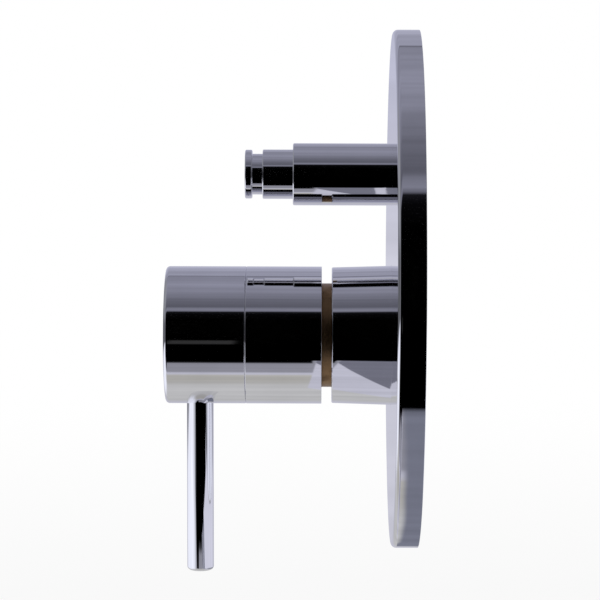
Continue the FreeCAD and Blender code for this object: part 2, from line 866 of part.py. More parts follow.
def diverter_stem():
    """Steel stem with the collar that the spring pushes on."""
    radius = diverter_stem_diameter / 2
    collar = stem_collar_diameter / 2
    stem = turned(
        [
            (piston_front, 0),
            (piston_front, radius),
            (collar_back, radius),
            (collar_back, collar),
            (collar_front, collar),
            (collar_front, radius),
            (diverter_stem_front, radius),
            (diverter_stem_front, 0),
        ],
        diverter_axis_z,
    )
    depth = rear_seat + piston_screw_length
    return stem.cut(drum(piston_front - BEYOND, depth + thread_play, screw_radius() + thread_play, diverter_axis_z))


def screw_radius():
    """Radius of the piston screw's shank."""
    return diverter_stem_diameter / 4


def diverter_piston():
    """Brass disc between the two washers."""
    return tube(piston_back, piston_front, screw_radius() + screw_play, piston_diameter / 2, diverter_axis_z)


def piston_washers():
    """Two rubber washers: the back one closes the rear port, the front one closes the front seat."""
    outer = washer_diameter / 2
    rear = tube(rear_seat, piston_back, screw_radius() + screw_play, outer, diverter_axis_z)
    hole = diverter_stem_diameter / 2 + screw_play
    front = tube(piston_front, piston_front + washer_thickness, hole, outer, diverter_axis_z)
    return Part.makeCompound([rear, front])


def piston_screw():
    """Screw that holds the piston on the stem, with its head in the rear port."""
    screw = drum(rear_seat, rear_seat + piston_screw_length, screw_radius(), diverter_axis_z)
    head_back = rear_seat - piston_screw_head_height
    head = drum(head_back, rear_seat, piston_screw_head_diameter / 2, diverter_axis_z)
    slot_top = head_back + piston_screw_head_height / 2
    half = piston_screw_slot / 2
    slot = block(piston_screw_head_diameter, head_back, slot_top, diverter_axis_z - half, diverter_axis_z + half)
    return screw.fuse(head).cut(slot)


def diverter_spring():
    """Coil spring that pushes the stem back in. Its wire has eight sides, which keeps the coil light."""
    height = spring_length - spring_wire - 2 * travel_play
    coil_radius = (spring_pocket_diameter - spring_wire) / 2 - spring_pocket_play
    helix = Part.makeHelix(height / spring_turns, height, coil_radius)
    steps = [math.tau * (k + 0.5) / spring_wire_sides for k in range(spring_wire_sides + 1)]
    wire = spring_wire / 2
    section = Part.makePolygon([Vector(coil_radius + wire * math.cos(t), 0, wire * math.sin(t)) for t in steps])
    coil = Part.Wire(helix).makePipeShell([section], True, True)
    coil.rotate(Vector(0, 0, 0), SIDEWAYS, 90)
    coil.translate(Vector(0, -(collar_front + travel_play + spring_wire / 2), diverter_axis_z))
    return coil


def diverter_knob():
    """Turned knob: guided collar, finger groove and head, hollow behind, tapped for the stem."""
    collar = knob_collar_diameter / 2
    groove = knob_groove_diameter / 2
    head = knob_head_diameter / 2
    bore = bonnet_nose_diameter / 2 + knob_nose_play
    tapped = diverter_stem_diameter / 2 + thread_play
    return turned(
        [
            (knob_back, bore),
            (knob_back, collar),
            (knob_collar_front - knob_edge_bevel, collar),
            (knob_collar_front, collar - knob_edge_bevel),
            (knob_collar_front, groove),
            (knob_groove_front, groove),
            (knob_groove_front, head, knob_head_round),
            (knob_front, head, knob_head_round),
            (knob_front, 0),
            (diverter_stem_front + thread_play, 0),
            (diverter_stem_front + thread_play, tapped),
            (knob_bore_front, tapped),
            (knob_bore_front, bore),
        ],
        diverter_axis_z,
    )


NODES = [
    cover_plate,
    plate_gasket,
    mixer_sleeve_seal,
    diverter_sleeve_seal,
    mixer_sleeve,
    diverter_sleeve,
    valve_body,
    wall_port_seals,
    cartridge_base,
    cartridge_port_seals,
    fixed_disc,
    moving_disc,
    disc_carrier,
    cartridge_housing,
    spindle_guide,
    pivot_pin,
    lever_stem,
    cartridge_nut,
    handle_ring,
    handle_screw,
    handle_cap,
    lever,
    diverter_bonnet,
    bonnet_washer,
    stem_seal,
    diverter_spring,
    diverter_stem,
    diverter_piston,
    piston_washers,
    piston_screw,
    diverter_knob,
]

os.makedirs("parts", exist_ok=True)
for build in NODES:
    shape = build()
    shape.exportStep("parts/" + build.__name__ + ".step")
    print(f"{build.__name__:24s} solids {len(shape.Solids)}  valid {shape.isValid()}  volume {shape.Volume:9.1f}")
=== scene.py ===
# %% [markdown]
# # A polished shower mixer with a pull-out diverter
#
# The real object is a set of turned and polished brass pieces on a round wall plate. It is photographed
# exactly from its side. Polished chrome has almost no colour of its own: what one sees is the room in it.
# So this lesson spends its care on two things: smooth surfaces with exact normals, and a studio that the
# metal can show.

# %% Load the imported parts
import json
import math

import bpy
import numpy as np
from mathutils import Matrix, Vector, geometry


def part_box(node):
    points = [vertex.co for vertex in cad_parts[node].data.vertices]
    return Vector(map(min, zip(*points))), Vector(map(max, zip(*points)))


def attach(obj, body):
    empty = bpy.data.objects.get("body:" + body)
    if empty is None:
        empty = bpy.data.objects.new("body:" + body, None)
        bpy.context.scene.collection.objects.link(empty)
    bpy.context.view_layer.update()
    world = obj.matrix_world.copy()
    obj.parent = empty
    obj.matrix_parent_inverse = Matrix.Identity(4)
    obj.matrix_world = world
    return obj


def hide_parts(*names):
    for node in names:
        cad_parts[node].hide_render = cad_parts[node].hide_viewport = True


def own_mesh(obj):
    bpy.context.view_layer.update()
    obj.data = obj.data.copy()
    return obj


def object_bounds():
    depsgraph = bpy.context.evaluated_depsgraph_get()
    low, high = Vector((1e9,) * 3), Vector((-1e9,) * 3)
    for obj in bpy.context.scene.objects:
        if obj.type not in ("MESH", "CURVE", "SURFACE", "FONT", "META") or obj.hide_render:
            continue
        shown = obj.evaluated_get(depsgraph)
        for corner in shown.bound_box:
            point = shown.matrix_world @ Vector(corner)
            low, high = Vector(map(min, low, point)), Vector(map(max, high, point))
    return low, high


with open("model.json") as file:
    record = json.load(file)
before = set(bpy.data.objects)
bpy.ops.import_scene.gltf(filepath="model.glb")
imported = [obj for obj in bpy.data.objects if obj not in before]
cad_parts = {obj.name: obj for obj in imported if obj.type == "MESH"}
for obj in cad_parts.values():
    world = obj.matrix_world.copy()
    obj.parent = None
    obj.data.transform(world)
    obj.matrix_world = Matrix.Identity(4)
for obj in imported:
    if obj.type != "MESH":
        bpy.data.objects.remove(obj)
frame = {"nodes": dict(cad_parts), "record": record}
scene = bpy.context.scene
cad_low, cad_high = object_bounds()
print("nodes", len(frame["nodes"]), "box", [round(v, 4) for v in (*cad_low, *cad_high)])

# %% [markdown]
# ## Places
#
# Every length here is in metres, in the frame of the parts: the wall is the plane y = 0, the front faces -Y
# and +Z is up. A station is a distance in front of the wall. Outer sizes are read from the boxes of the
# parts, so a new surface can't leave the part that it stands for.

# %% Read the places of the two axes and the outer sizes
MM = 0.001


def middle_z(node):
    """Height of the middle of a node's box."""
    low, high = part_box(node)
    return (low.z + high.z) / 2


def radius_of(node):
    """Half of the width of a node's box, which is the radius of a turned piece."""
    low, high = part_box(node)
    return (high.x - low.x) / 2


def stations_of(node):
    """Back and front station of a node."""
    low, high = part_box(node)
    return -high.y, -low.y


mixer_z = middle_z("mixer_sleeve")
diverter_z = middle_z("diverter_sleeve")
plate_back, plate_front = stations_of("cover_plate")
plate_radius = max(abs(cad_low.x), abs(cad_high.x))
print("axes at", round(mixer_z / MM, 2), round(diverter_z / MM, 2), "plate", round(plate_radius / MM, 2))

# %% [markdown]
# ## A turned surface
#
# A polished cylinder that is made of flat facets shows steps in every reflection. A turned piece can be made
# as a grid instead: one way along its profile, one way around its axis. Each corner of the profile gets a
# small round, because real edges are never perfectly sharp and their thin highlight is what makes them read
# as metal. The normal of each point is worked out from the profile and given to the mesh, so a flat face
# stays exactly flat right up to its round.

# %% Profile with rounded corners
ARC_STEPS = 7


def profile_of(corners, closed, bore=False):
    """Points and normals of a profile through (station, radius, round) corners.

    With bore, the metal lies outside the profile instead of between it and the axis.

    A corner's round is an arc tangent to both runs: its centre lies on the corner's bisector, at the round
    divided by the sine of half the corner's angle, and the points on it turn evenly from the normal of one
    run to the normal of the next. The normal of a run is its direction turned by a quarter to the outside.
    """
    places = np.array([c[:2] for c in corners], float)
    rounds = np.array([c[2] if len(c) > 2 else 0.0 for c in corners], float)
    after = np.roll(places, -1, axis=0) - places
    after /= np.maximum(np.linalg.norm(after, axis=1), 1e-12)[:, None]
    loop = places if closed else np.vstack([places, [places[-1][0], 0], [places[0][0], 0]])
    following = np.roll(loop, -1, axis=0)
    twice_area = np.sum(loop[:, 0] * following[:, 1] - following[:, 0] * loop[:, 1])
    side = np.sign(twice_area) * (-1 if bore else 1)
    outward = side * np.stack([after[:, 1], -after[:, 0]], axis=1)
    points, normals = [], []
    for k, place in enumerate(places):
        first = not closed and k == 0
        last = not closed and k == len(places) - 1
        before_n = outward[k] if first else outward[k - 1]
        after_n = outward[k - 1] if last else outward[k]
        if rounds[k] <= 0:
            points.append(place[None])
            normals.append((before_n + after_n)[None])
            continue
        bend = math.atan2(before_n[0] * after_n[1] - before_n[1] * after_n[0], float(before_n @ after_n))
        angle = math.atan2(before_n[1], before_n[0]) + np.linspace(0, bend, ARC_STEPS)
        spokes = np.stack([np.cos(angle), np.sin(angle)], axis=1)
        middle = (before_n + after_n) / np.linalg.norm(before_n + after_n)
        sense = side * np.sign(bend)
        centre = place - sense * middle * rounds[k] / math.cos(bend / 2)
        points.append(centre + sense * spokes * rounds[k])
        normals.append(spokes)
    normals = np.vstack(normals)
    return np.vstack(points), normals / np.linalg.norm(normals, axis=1)[:, None]


print("points of one round", len(profile_of([(0.0, 0.01), (0.02, 0.01, 0.001), (0.02, 0.0)], False)[0]) - 2)

# %% Carry a profile around an axis
FORWARD = ((0, -1, 0), (1, 0, 0), (0, 0, 1))
DOWNWARD = ((0, 0, -1), (1, 0, 0), (0, -1, 0))


def quads_between(here, there):
    """Quads between rows of point numbers and the rows after them. Each row closes on itself."""
    ahead, ahead_there = np.roll(here, -1, axis=1), np.roll(there, -1, axis=1)
    return np.stack([here, ahead, ahead_there, there], axis=-1).reshape(-1, 4)


def against(vertices, normals, quads):
    """True when the quads face against the normals of their corners."""
    point = vertices[quads]
    facing = np.cross(point[:, 2] - point[:, 0], point[:, 3] - point[:, 1])
    return np.sum(facing * normals[quads].sum(axis=1)) < 0


def turned_grid(corners, origin, axes=FORWARD, around=256, closed=False, bore=False):
    """Vertices, normals and faces of a turned piece.

    A point is the origin, plus its station along the axis, plus its radius times the cosine of the turn
    along the first side direction and times the sine along the second. A row of radius 0 is one point.
    """
    profile, flat_normals = profile_of(corners, closed, bore)
    along, side_a, side_b = (np.array(v, float) for v in axes)
    turn = np.arange(around) * 2 * np.pi / around
    spoke = np.cos(turn)[:, None] * side_a + np.sin(turn)[:, None] * side_b
    grid = profile[:, 0, None, None] * along + profile[:, 1, None, None] * spoke + np.array(origin, float)
    grid_n = flat_normals[:, 0, None, None] * along + flat_normals[:, 1, None, None] * spoke
    pole = profile[:, 1] < 1e-9
    counts = np.where(pole, 1, around)
    starts = np.concatenate([[0], np.cumsum(counts)[:-1]])
    index = starts[:, None] + np.where(pole[:, None], 0, np.arange(around)[None])
    keep = ~pole[:, None] | (np.arange(around)[None] == 0)
    vertices, normals = grid[keep], grid_n[keep]
    here, there = (index, np.roll(index, -1, axis=0)) if closed else (index[:-1], index[1:])
    quads = quads_between(here, there)
    quads = quads[:, ::-1] if against(vertices, normals, quads) else quads
    same_a = quads[:, 0] == quads[:, 1]
    same_b = quads[:, 2] == quads[:, 3]
    faces = quads[~same_a & ~same_b].tolist() + quads[same_a][:, 1:].tolist() + quads[same_b][:, :3].tolist()
    return vertices, normals, faces


def turned_piece(name, corners, origin, **how):
    """Mesh object of one turned piece, with its exact normals."""
    vertices, normals, faces = turned_grid(corners, origin, **how)
    return mesh_piece(name, vertices, normals, faces)


def bare_mesh(name, vertices, faces):
    """Object at the origin with the given points and faces."""
    mesh = bpy.data.meshes.new(name)
    mesh.from_pydata(vertices, [], faces)
    mesh.update()
    piece = bpy.data.objects.new(name, mesh)
    scene.collection.objects.link(piece)
    return piece


def mesh_piece(name, vertices, normals, faces):
    """Object at the origin, shaded smooth, whose normals are the ones given for its vertices."""
    piece = bare_mesh(name, vertices.tolist(), faces)
    mesh = piece.data
    mesh.validate(verbose=False)
    mesh.polygons.foreach_set("use_smooth", np.ones(len(mesh.polygons), bool))
    mesh.normals_split_custom_set_from_vertices(normals.tolist())
    mesh.update()
    print(name, "vertices", len(mesh.vertices), "faces", len(mesh.polygons))
    return piece


# %% [markdown]
# ## The wall plate
#
# The plate is a spun dish with a rounded front edge, open at the back, with a hole for each sleeve. Its rim
# and its hollow are turned surfaces. The two flat walls have round holes that no single grid fits, so they
# are filled with triangles between their circles: on a flat mirror it makes no difference how the triangles
# lie, as long as their edges meet the rim and the holes point by point.

# %% Flat wall with round holes
def circle_points(centre, radius, around):
    """Points at the centre plus the radius times the cosine and sine of evenly spaced turns."""
    turn = np.arange(around) * 2 * np.pi / around
    return np.stack([centre[0] + radius * np.cos(turn), centre[1] + radius * np.sin(turn)], axis=1)


def flat_wall(station, rings, facing):
    """Vertices, normals and faces of a flat wall at a station.

    The wall lies inside the first (centre, radius, around) ring and outside the others.
    """
    loops = [circle_points(*ring) for ring in rings]
    points = np.vstack(loops)
    starts = np.cumsum([0] + [len(loop) for loop in loops])
    edges = [
        (starts[k] + i, starts[k] + (i + 1) % len(loop)) for k, loop in enumerate(loops) for i in range(len(loop))
    ]
    found = geometry.delaunay_2d_cdt([Vector(p) for p in points], edges, [], 1, 1e-9)
    flat = np.array([tuple(v) for v in found[0]])
    triangles = np.array(found[2])
    centres = flat[triangles].mean(axis=1)
    for centre, radius, _ in rings[1:]:
        outside = np.linalg.norm(centres - np.array(centre), axis=1) > radius * 0.999
        triangles, centres = triangles[outside], centres[outside]
    vertices = np.stack([flat[:, 0], np.full(len(flat), -station), flat[:, 1]], axis=1)
    normals = np.tile(np.array([[0.0, facing, 0.0]]), (len(flat), 1))
    a, b, c = (vertices[triangles[:, k]] for k in range(3))
    wrong = np.sum(np.cross(b - a, c - a)[:, 1]) * facing < 0
    return vertices, normals, (triangles[:, ::-1] if wrong else triangles).tolist()


def join_grids(grids):
    """One set of vertices, normals and faces from several. Points at the same place become one."""
    vertices = np.vstack([g[0] for g in grids])
    normals = np.vstack([g[1] for g in grids])
    shifts = np.cumsum([0] + [len(g[0]) for g in grids])
    keys = np.round(vertices * 1e7).astype(np.int64)
    _, first, inverse = np.unique(keys, axis=0, return_index=True, return_inverse=True)
    inverse = inverse.reshape(-1)
    faces = []
    for shift, grid in zip(shifts, grids):
        faces += [[int(inverse[shift + i]) for i in face] for face in grid[2]]
    return vertices[first], normals[first], faces


# %% Plate
hole_play = 0.15 * MM
hole_margin = 0.5 * MM
sleeve_holes = [
    (mixer_z, radius_of("mixer_sleeve") + hole_play, 256),
    (diverter_z, radius_of("diverter_sleeve") + hole_play, 160),
]
plate_wall = 1.8 * MM
inside_station = plate_front - plate_wall
rim_steps = 512
edge = 0.12 * MM
front_round = 1.8 * MM
hollow_round = 1.5 * MM
gasket_depth = 3.0 * MM
recess_radius = plate_radius - 1.6 * MM
hollow_radius = recess_radius - 4.1 * MM
front_flat = plate_radius - 6 * MM
inner_flat = hollow_radius - 4 * MM
rim = turned_grid(
    [
        (plate_front, front_flat),
        (plate_front, plate_radius, front_round),
        (0.0, plate_radius, edge),
        (0.0, recess_radius, edge),
        (gasket_depth, recess_radius),
        (gasket_depth, hollow_radius, edge),
        (inside_station, hollow_radius, hollow_round),
        (inside_station, inner_flat),
    ],
    (0, 0, 0),
    around=rim_steps,
)
grids = [rim]
front_rings = [((0, 0), front_flat, rim_steps)]
inner_rings = [((0, 0), inner_flat, rim_steps)]
for axis_z, hole_radius, around in sleeve_holes:
    wide = hole_radius + hole_margin
    front_rings.append(((0, axis_z), wide, around))
    inner_rings.append(((0, axis_z), wide, around))
    grids.append(
        turned_grid(
            [
                (plate_front, wide),
                (plate_front, hole_radius, edge),
                (inside_station, hole_radius, edge),
                (inside_station, wide),
            ],
            (0, 0, axis_z),
            around=around,
            bore=True,
        )
    )
print("parts of the plate", len(grids) + 2)

# %% Join the plate
grids.append(flat_wall(plate_front, front_rings, -1.0))
grids.append(flat_wall(inside_station, inner_rings, 1.0))
plate = mesh_piece("plate_polished", *join_grids(grids))
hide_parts("cover_plate")
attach(plate, "fixed")

# %% [markdown]
# ## The two sleeves
#
# Each sleeve is a short tube with a thin front lip. The lower one gets slimmer by a hair towards its front,
# which steers its reflections. The front edge has a small bevel that catches a bright line of the softbox.

# %% Sleeves
fine = 0.08 * MM


def sleeve(name, node, axis_z, taper, lip, lip_bore, wall, bevel=0.3 * MM):
    """Tube with a lip: outer wall, bevel, front face, lip's bore, back of the lip, and the tube's bore.

    The radius shrinks by the taper from the plate to the front.
    """
    back, front = stations_of(node)
    outer = radius_of(node)
    slim = outer - taper
    taper_start = [(plate_front, outer, fine)] if taper else []
    piece = turned_piece(
        name,
        [
            (back, outer - wall, fine),
            (back, outer, fine),
            *taper_start,
            (front - bevel, slim, fine),
            (front, slim - bevel, fine),
            (front, lip_bore, fine),
            (front - lip, lip_bore, fine),
            (front - lip, outer - wall, fine),
        ],
        (0, 0, axis_z),
        around=256,
        closed=True,
    )
    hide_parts(node)
    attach(piece, "fixed")
    return piece


mixer_tube = sleeve(
    "mixer_tube", "mixer_sleeve", mixer_z, taper=0.6 * MM, lip=2.6 * MM, lip_bore=18.2 * MM, wall=2.3 * MM
)
diverter_tube = sleeve(
    "diverter_tube", "diverter_sleeve", diverter_z, taper=0.0, lip=2.0 * MM, lip_bore=8.63 * MM, wall=1.0 * MM
)

# %% [markdown]
# ## The handle
#
# The handle is two turned pieces of the same diameter that meet in a fine seam: a ring at the back, open
# towards the wall, and a cap in front with a softly rounded front edge. The seam is two small rounds that
# meet in a fine groove. A spigot of the ring sits in the cap, and the ring's web carries a boss with a socket
# for the stem. The rod of the lever screws in the cap from below and hangs straight down.

# %% Ring and cap
handle_radius = radius_of("handle_ring")
ring_back = stations_of("handle_ring")[0]
cap_back, cap_front = stations_of("handle_cap")
seam_round = 0.3 * MM
wide_bore = 20.75 * MM
spigot_front, spigot_outer, spigot_inner = cap_back + 5.0 * MM, 20.65 * MM, 17.65 * MM
web_back = cap_back - 5.8 * MM
screw_hole = 2.15 * MM
socket_front, socket_radius = cap_back - 2.75 * MM, 5.1 * MM
boss_back, boss_radius = cap_back - 13.8 * MM, 8.5 * MM
cap_floor, cap_bore = cap_front - 4.5 * MM, 18.55 * MM
shelf = spigot_front + 0.1 * MM
ring = turned_piece(
    "handle_ring_polished",
    [
        (ring_back, wide_bore, fine),
        (ring_back, handle_radius, 0.15 * MM),
        (cap_back, handle_radius, seam_round),
        (cap_back, spigot_outer, fine),
        (spigot_front, spigot_outer, fine),
        (spigot_front, spigot_inner, fine),
        (cap_back, spigot_inner, fine),
        (cap_back, screw_hole, fine),
        (socket_front, screw_hole, fine),
        (socket_front, socket_radius, fine),
        (boss_back, socket_radius, fine),
        (boss_back, boss_radius, fine),
        (web_back, boss_radius, fine),
        (web_back, wide_bore, fine),
    ],
    (0, 0, mixer_z),
    around=320,
    closed=True,
)
cap = turned_piece(
    "handle_cap_polished",
    [
        (cap_floor, 0.0),
        (cap_floor, cap_bore, fine),
        (shelf, cap_bore, fine),
        (shelf, wide_bore, fine),
        (cap_back, wide_bore, fine),
        (cap_back, handle_radius, seam_round),
        (cap_front, handle_radius, 1.4 * MM),
        (cap_front, 0.0),
    ],
    (0, 0, mixer_z),
    around=320,
)
print("handle from", round(ring_back / MM, 1), "to", round(cap_front / MM, 1))
for piece, node in ((ring, "handle_ring"), (cap, "handle_cap")):
    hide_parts(node)
    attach(piece, "handle")

# %% Lever rod
lever_low, lever_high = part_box("lever")
rod_radius = radius_of("lever")
rod_y = (lever_low.y + lever_high.y) / 2
rod_sunk = 4.0 * MM
rod_top = mixer_z - handle_radius + rod_sunk
rod = turned_piece(
    "lever_rod",
    [
        (-rod_top, 0.0),
        (-rod_top, rod_radius, fine),
        (-lever_low.z, rod_radius, 1.2 * MM),
        (-lever_low.z, 0.0),
    ],
    (0, rod_y, 0),
    axes=DOWNWARD,
    around=192,
)
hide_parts("lever")
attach(rod, "handle")
print("rod from", round(rod_top / MM, 1), "down to", round(lever_low.z / MM, 1))

# %% [markdown]
# ## The diverter's knob
#
# One turned piece: a collar that slides in the sleeve, a groove for the fingertips, and a thin head with
# soft edges. It moves with the diverter, so it rides on that body and comes out by 7 mm when pulled.

# %% Knob
knob_back, knob_front = stations_of("diverter_knob")
knob_radius = radius_of("diverter_knob")
head_radius = 8.45 * MM
head_back = knob_front - 2.5 * MM
groove_radius = 7.05 * MM
collar_front = head_back - 3.6 * MM
collar_bevel = 0.25 * MM
stem_bore, stem_end = 5.2 * MM, knob_back + 10.1 * MM
knob = turned_piece(
    "knob_turned",
    [
        (stem_end, 0.0),
        (stem_end, stem_bore, fine),
        (knob_back, stem_bore, fine),
        (knob_back, knob_radius, fine),
        (collar_front - collar_bevel, knob_radius, fine),
        (collar_front, knob_radius - collar_bevel, fine),
        (collar_front, groove_radius, 0.15 * MM),
        (head_back, groove_radius, 0.15 * MM),
        (head_back, head_radius, 0.5 * MM),
        (knob_front, head_radius, 0.5 * MM),
        (knob_front, 0.0),
    ],
    (0, 0, diverter_z),
    around=224,
)
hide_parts("diverter_knob")
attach(knob, "diverter")

# %% [markdown]
# ## The diverter's spring
#
# A coil of round wire pushes the knob back in. It is a circle carried along a helix. Its front end rests in the
# bonnet and its back end on the stem's collar, so on the real part it gets shorter as the knob comes out. Here it is
# built at its rest length on the fixed body.

# %% Coil of wire
def coil_grid(low_y, high_y, mean_radius, wire_radius, turns, axis_z, steps=240, sides=16):
    """Vertices, normals and faces of a round wire along a helix around Y.

    The middle of the wire lies at the mean radius times the cosine and sine of its turn, at an even climb.
    Around it goes a circle in the plane of the outward direction and of its cross product with the tangent.
    """
    share = np.linspace(0.0, 1.0, steps + 1)[:, None]
    turning = 2 * np.pi * turns * share
    outward = np.hstack([np.cos(turning), np.zeros_like(turning), np.sin(turning)])
    start, end = low_y + wire_radius, high_y - wire_radius
    middle = mean_radius * outward + np.hstack([0 * share, start + (end - start) * share, 0 * share + axis_z])
    climb = (end - start) / (2 * np.pi * turns * mean_radius)
    tangent = np.hstack([-np.sin(turning), np.full_like(turning, climb), np.cos(turning)]) / math.hypot(1, climb)
    across = np.cross(tangent, outward)
    round_wire = np.arange(sides) * 2 * np.pi / sides
    part_out, part_across = np.cos(round_wire)[None, :, None], np.sin(round_wire)[None, :, None]
    normals = part_out * outward[:, None] + part_across * across[:, None]
    skin = middle[:, None] + wire_radius * normals
    index = np.arange((steps + 1) * sides).reshape(steps + 1, sides)
    quads = quads_between(index[:-1], index[1:])[:, [0, 3, 2, 1]]
    first, last = index.size, index.size + 1
    caps = [[first, int(a), int(b)] for a, b in zip(index[0], np.roll(index[0], -1))]
    caps += [[last, int(b), int(a)] for a, b in zip(index[-1], np.roll(index[-1], -1))]
    vertices = np.vstack([skin.reshape(-1, 3), middle[:1], middle[-1:]])
    all_normals = np.vstack([normals.reshape(-1, 3), -tangent[:1], tangent[-1:]])
    faces = quads.tolist() + caps
    if against(vertices, all_normals, quads):
        faces = [face[::-1] for face in faces]
    return vertices, all_normals, faces


# %% Spring
spring_low, spring_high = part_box("diverter_spring")
wire_radius = 0.35 * MM
coil_radius = radius_of("diverter_spring") - wire_radius
coil_turns = 5
coil = coil_grid(spring_low.y, spring_high.y, coil_radius, wire_radius, coil_turns, diverter_z)
spring = mesh_piece("spring_coil", *coil)
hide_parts("diverter_spring")
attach(spring, "fixed")
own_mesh(spring)

# %% [markdown]
# ## Shared effects
#
# Effects that several finishes need are node groups: they put out only masks, values and heights, and each
# material sets its own strength. All of them read Object coordinates, so nothing slides when a piece moves.

# %% Small helpers for nodes
def feed(tree, value, socket):
    """Gives a value to an input: a link when it comes from another node, else a constant."""
    if isinstance(value, bpy.types.NodeSocket):
        tree.links.new(value, socket)
    else:
        socket.default_value = value


def new_group(name, inputs, outputs):
    """Node group with float inputs (name, value) and outputs (name, socket type)."""
    tree = bpy.data.node_groups.new(name, "ShaderNodeTree")
    for label, value in inputs:
        socket = tree.interface.new_socket(name=label, in_out="INPUT", socket_type="NodeSocketFloat")
        socket.default_value = value
    for label, kind in outputs:
        tree.interface.new_socket(name=label, in_out="OUTPUT", socket_type=kind)
    return tree, tree.nodes.new("NodeGroupInput"), tree.nodes.new("NodeGroupOutput")


def math_node(tree, operation, a, b, clamp=False):
    """Math node of two sockets or numbers. Returns its output."""
    node = tree.nodes.new("ShaderNodeMath")
    node.operation = operation
    node.use_clamp = clamp
    feed(tree, a, node.inputs[0])
    feed(tree, b, node.inputs[1])
    return node.outputs[0]


def times(tree, *values):
    """Product of several sockets or numbers."""
    product = values[0]
    for value in values[1:]:
        product = math_node(tree, "MULTIPLY", product, value)
    return product


def mix_colour(tree, factor, a, b):
    """Colour a where the factor is 0 and b where it is 1."""
    node = tree.nodes.new("ShaderNodeMix")
    node.data_type = "RGBA"
    for label, value in (("Factor", factor), ("A", a), ("B", b)):
        feed(tree, value, node.inputs[label])
    return node.outputs["Result"]


def noise_node(tree, vector, scale, detail=2.0, roughness=0.5):
    """Noise texture read at a vector. Returns its value, from 0 to 1."""
    node = tree.nodes.new("ShaderNodeTexNoise")
    for label, value in (("Vector", vector), ("Scale", scale), ("Detail", detail), ("Roughness", roughness)):
        feed(tree, value, node.inputs[label])
    return node.outputs["Fac"]


def object_vector(tree, stretch=(1, 1, 1)):
    """Object coordinates, stretched by a Mapping node."""
    coordinates = tree.nodes.new("ShaderNodeTexCoord")
    mapping = tree.nodes.new("ShaderNodeMapping")
    mapping.inputs["Scale"].default_value = stretch
    tree.links.new(coordinates.outputs["Object"], mapping.inputs["Vector"])
    return mapping.outputs["Vector"]


# %% Polish: slow waves, smudges and fine hairlines
def make_polish():
    """Height and roughness of a polished face, with a mask of its smudges.

    The height is slow noise times Waves plus fine noise times Hairlines. The roughness is Base plus the
    smudges times Smudge.
    """
    tree, into, out = new_group(
        "polish",
        [("Base", 0.03), ("Smudge", 0.03), ("Waves", 1.0), ("Wave Scale", 60.0), ("Hairlines", 0.2)],
        [("Roughness", "NodeSocketFloat"), ("Height", "NodeSocketFloat"), ("Shade", "NodeSocketFloat")],
    )
    plain = object_vector(tree)
    waves = noise_node(tree, plain, into.outputs["Wave Scale"], 1.0, 0.4)
    hair = noise_node(tree, object_vector(tree, (900, 60, 900)), 1.0, 2.0, 0.6)
    smudges = noise_node(tree, plain, 45.0, 4.0, 0.6)
    patches = math_node(tree, "SUBTRACT", smudges, 0.45, True)
    patches = math_node(tree, "MULTIPLY", patches, 3.0, True)
    height = times(tree, waves, into.outputs["Waves"])
    lines = times(tree, hair, into.outputs["Hairlines"])
    tree.links.new(math_node(tree, "ADD", height, lines), out.inputs["Height"])
    rough = times(tree, patches, into.outputs["Smudge"])
    tree.links.new(math_node(tree, "ADD", rough, into.outputs["Base"]), out.inputs["Roughness"])
    tree.links.new(patches, out.inputs["Shade"])
    return tree


polish_group = make_polish()
print("polish nodes", len(polish_group.nodes))

# %% Surface grain for cast, turned, moulded and rubber pieces
def make_grain():
    """Fine and coarse noise mixed into a height, with a mask of spots for colour and roughness."""
    tree, into, out = new_group(
        "grain",
        [("Scale", 800.0), ("Coarse Scale", 120.0), ("Spots", 0.5)],
        [("Height", "NodeSocketFloat"), ("Mask", "NodeSocketFloat")],
    )
    plain = object_vector(tree)
    fine_noise = noise_node(tree, plain, into.outputs["Scale"], 3.0, 0.6)
    coarse = noise_node(tree, plain, into.outputs["Coarse Scale"], 3.0, 0.55)
    both = times(tree, math_node(tree, "ADD", fine_noise, coarse), 0.5)
    tree.links.new(both, out.inputs["Height"])
    spots = math_node(tree, "SUBTRACT", coarse, math_node(tree, "SUBTRACT", 1.0, into.outputs["Spots"]), True)
    tree.links.new(math_node(tree, "MULTIPLY", spots, 4.0, True), out.inputs["Mask"])
    return tree


grain_group = make_grain()
print("grain nodes", len(grain_group.nodes))

# %% [markdown]
# ## Chrome
#
# The coat is metal with a cool base colour and a roughness near zero. Slow waves bend reflections a little,
# as buffing does, smudges raise the roughness in soft patches, and a trace of hairlines follows the turning.

# %% How a material is made
def start_material(name):
    """Empty node material with a Principled shader joined to its output."""
    material = bpy.data.materials.new(name)
    material.use_nodes = True
    tree = material.node_tree
    tree.nodes.clear()
    shader = tree.nodes.new("ShaderNodeBsdfPrincipled")
    output = tree.nodes.new("ShaderNodeOutputMaterial")
    tree.links.new(shader.outputs["BSDF"], output.inputs["Surface"])
    return material, tree, shader


def group_node(tree, group, amounts):
    """Node of a group with its inputs set."""
    node = tree.nodes.new("ShaderNodeGroup")
    node.node_tree = group
    for label, value in amounts.items():
        node.inputs[label].default_value = value
    return node


def two_tone(tree, mask, plain, marked):
    """Colour between two tones by a mask."""
    return mix_colour(tree, mask, (*plain, 1.0), (*marked, 1.0))


def add_bump(tree, shader, height, distance):
    """Bump node from a height to the shader's normal, at full strength."""
    bump = tree.nodes.new("ShaderNodeBump")
    bump.inputs["Distance"].default_value = distance
    bump.inputs["Strength"].default_value = 1.0
    tree.links.new(height, bump.inputs["Height"])
    tree.links.new(bump.outputs["Normal"], shader.inputs["Normal"])


def dress(piece, material):
    """Gives a piece one material."""
    piece.data.materials.clear()
    piece.data.materials.append(material)


# %% Chrome materials
CHROME = (0.80, 0.80, 0.83)
smudge_dulling = 0.94
polish_depth = 0.00002


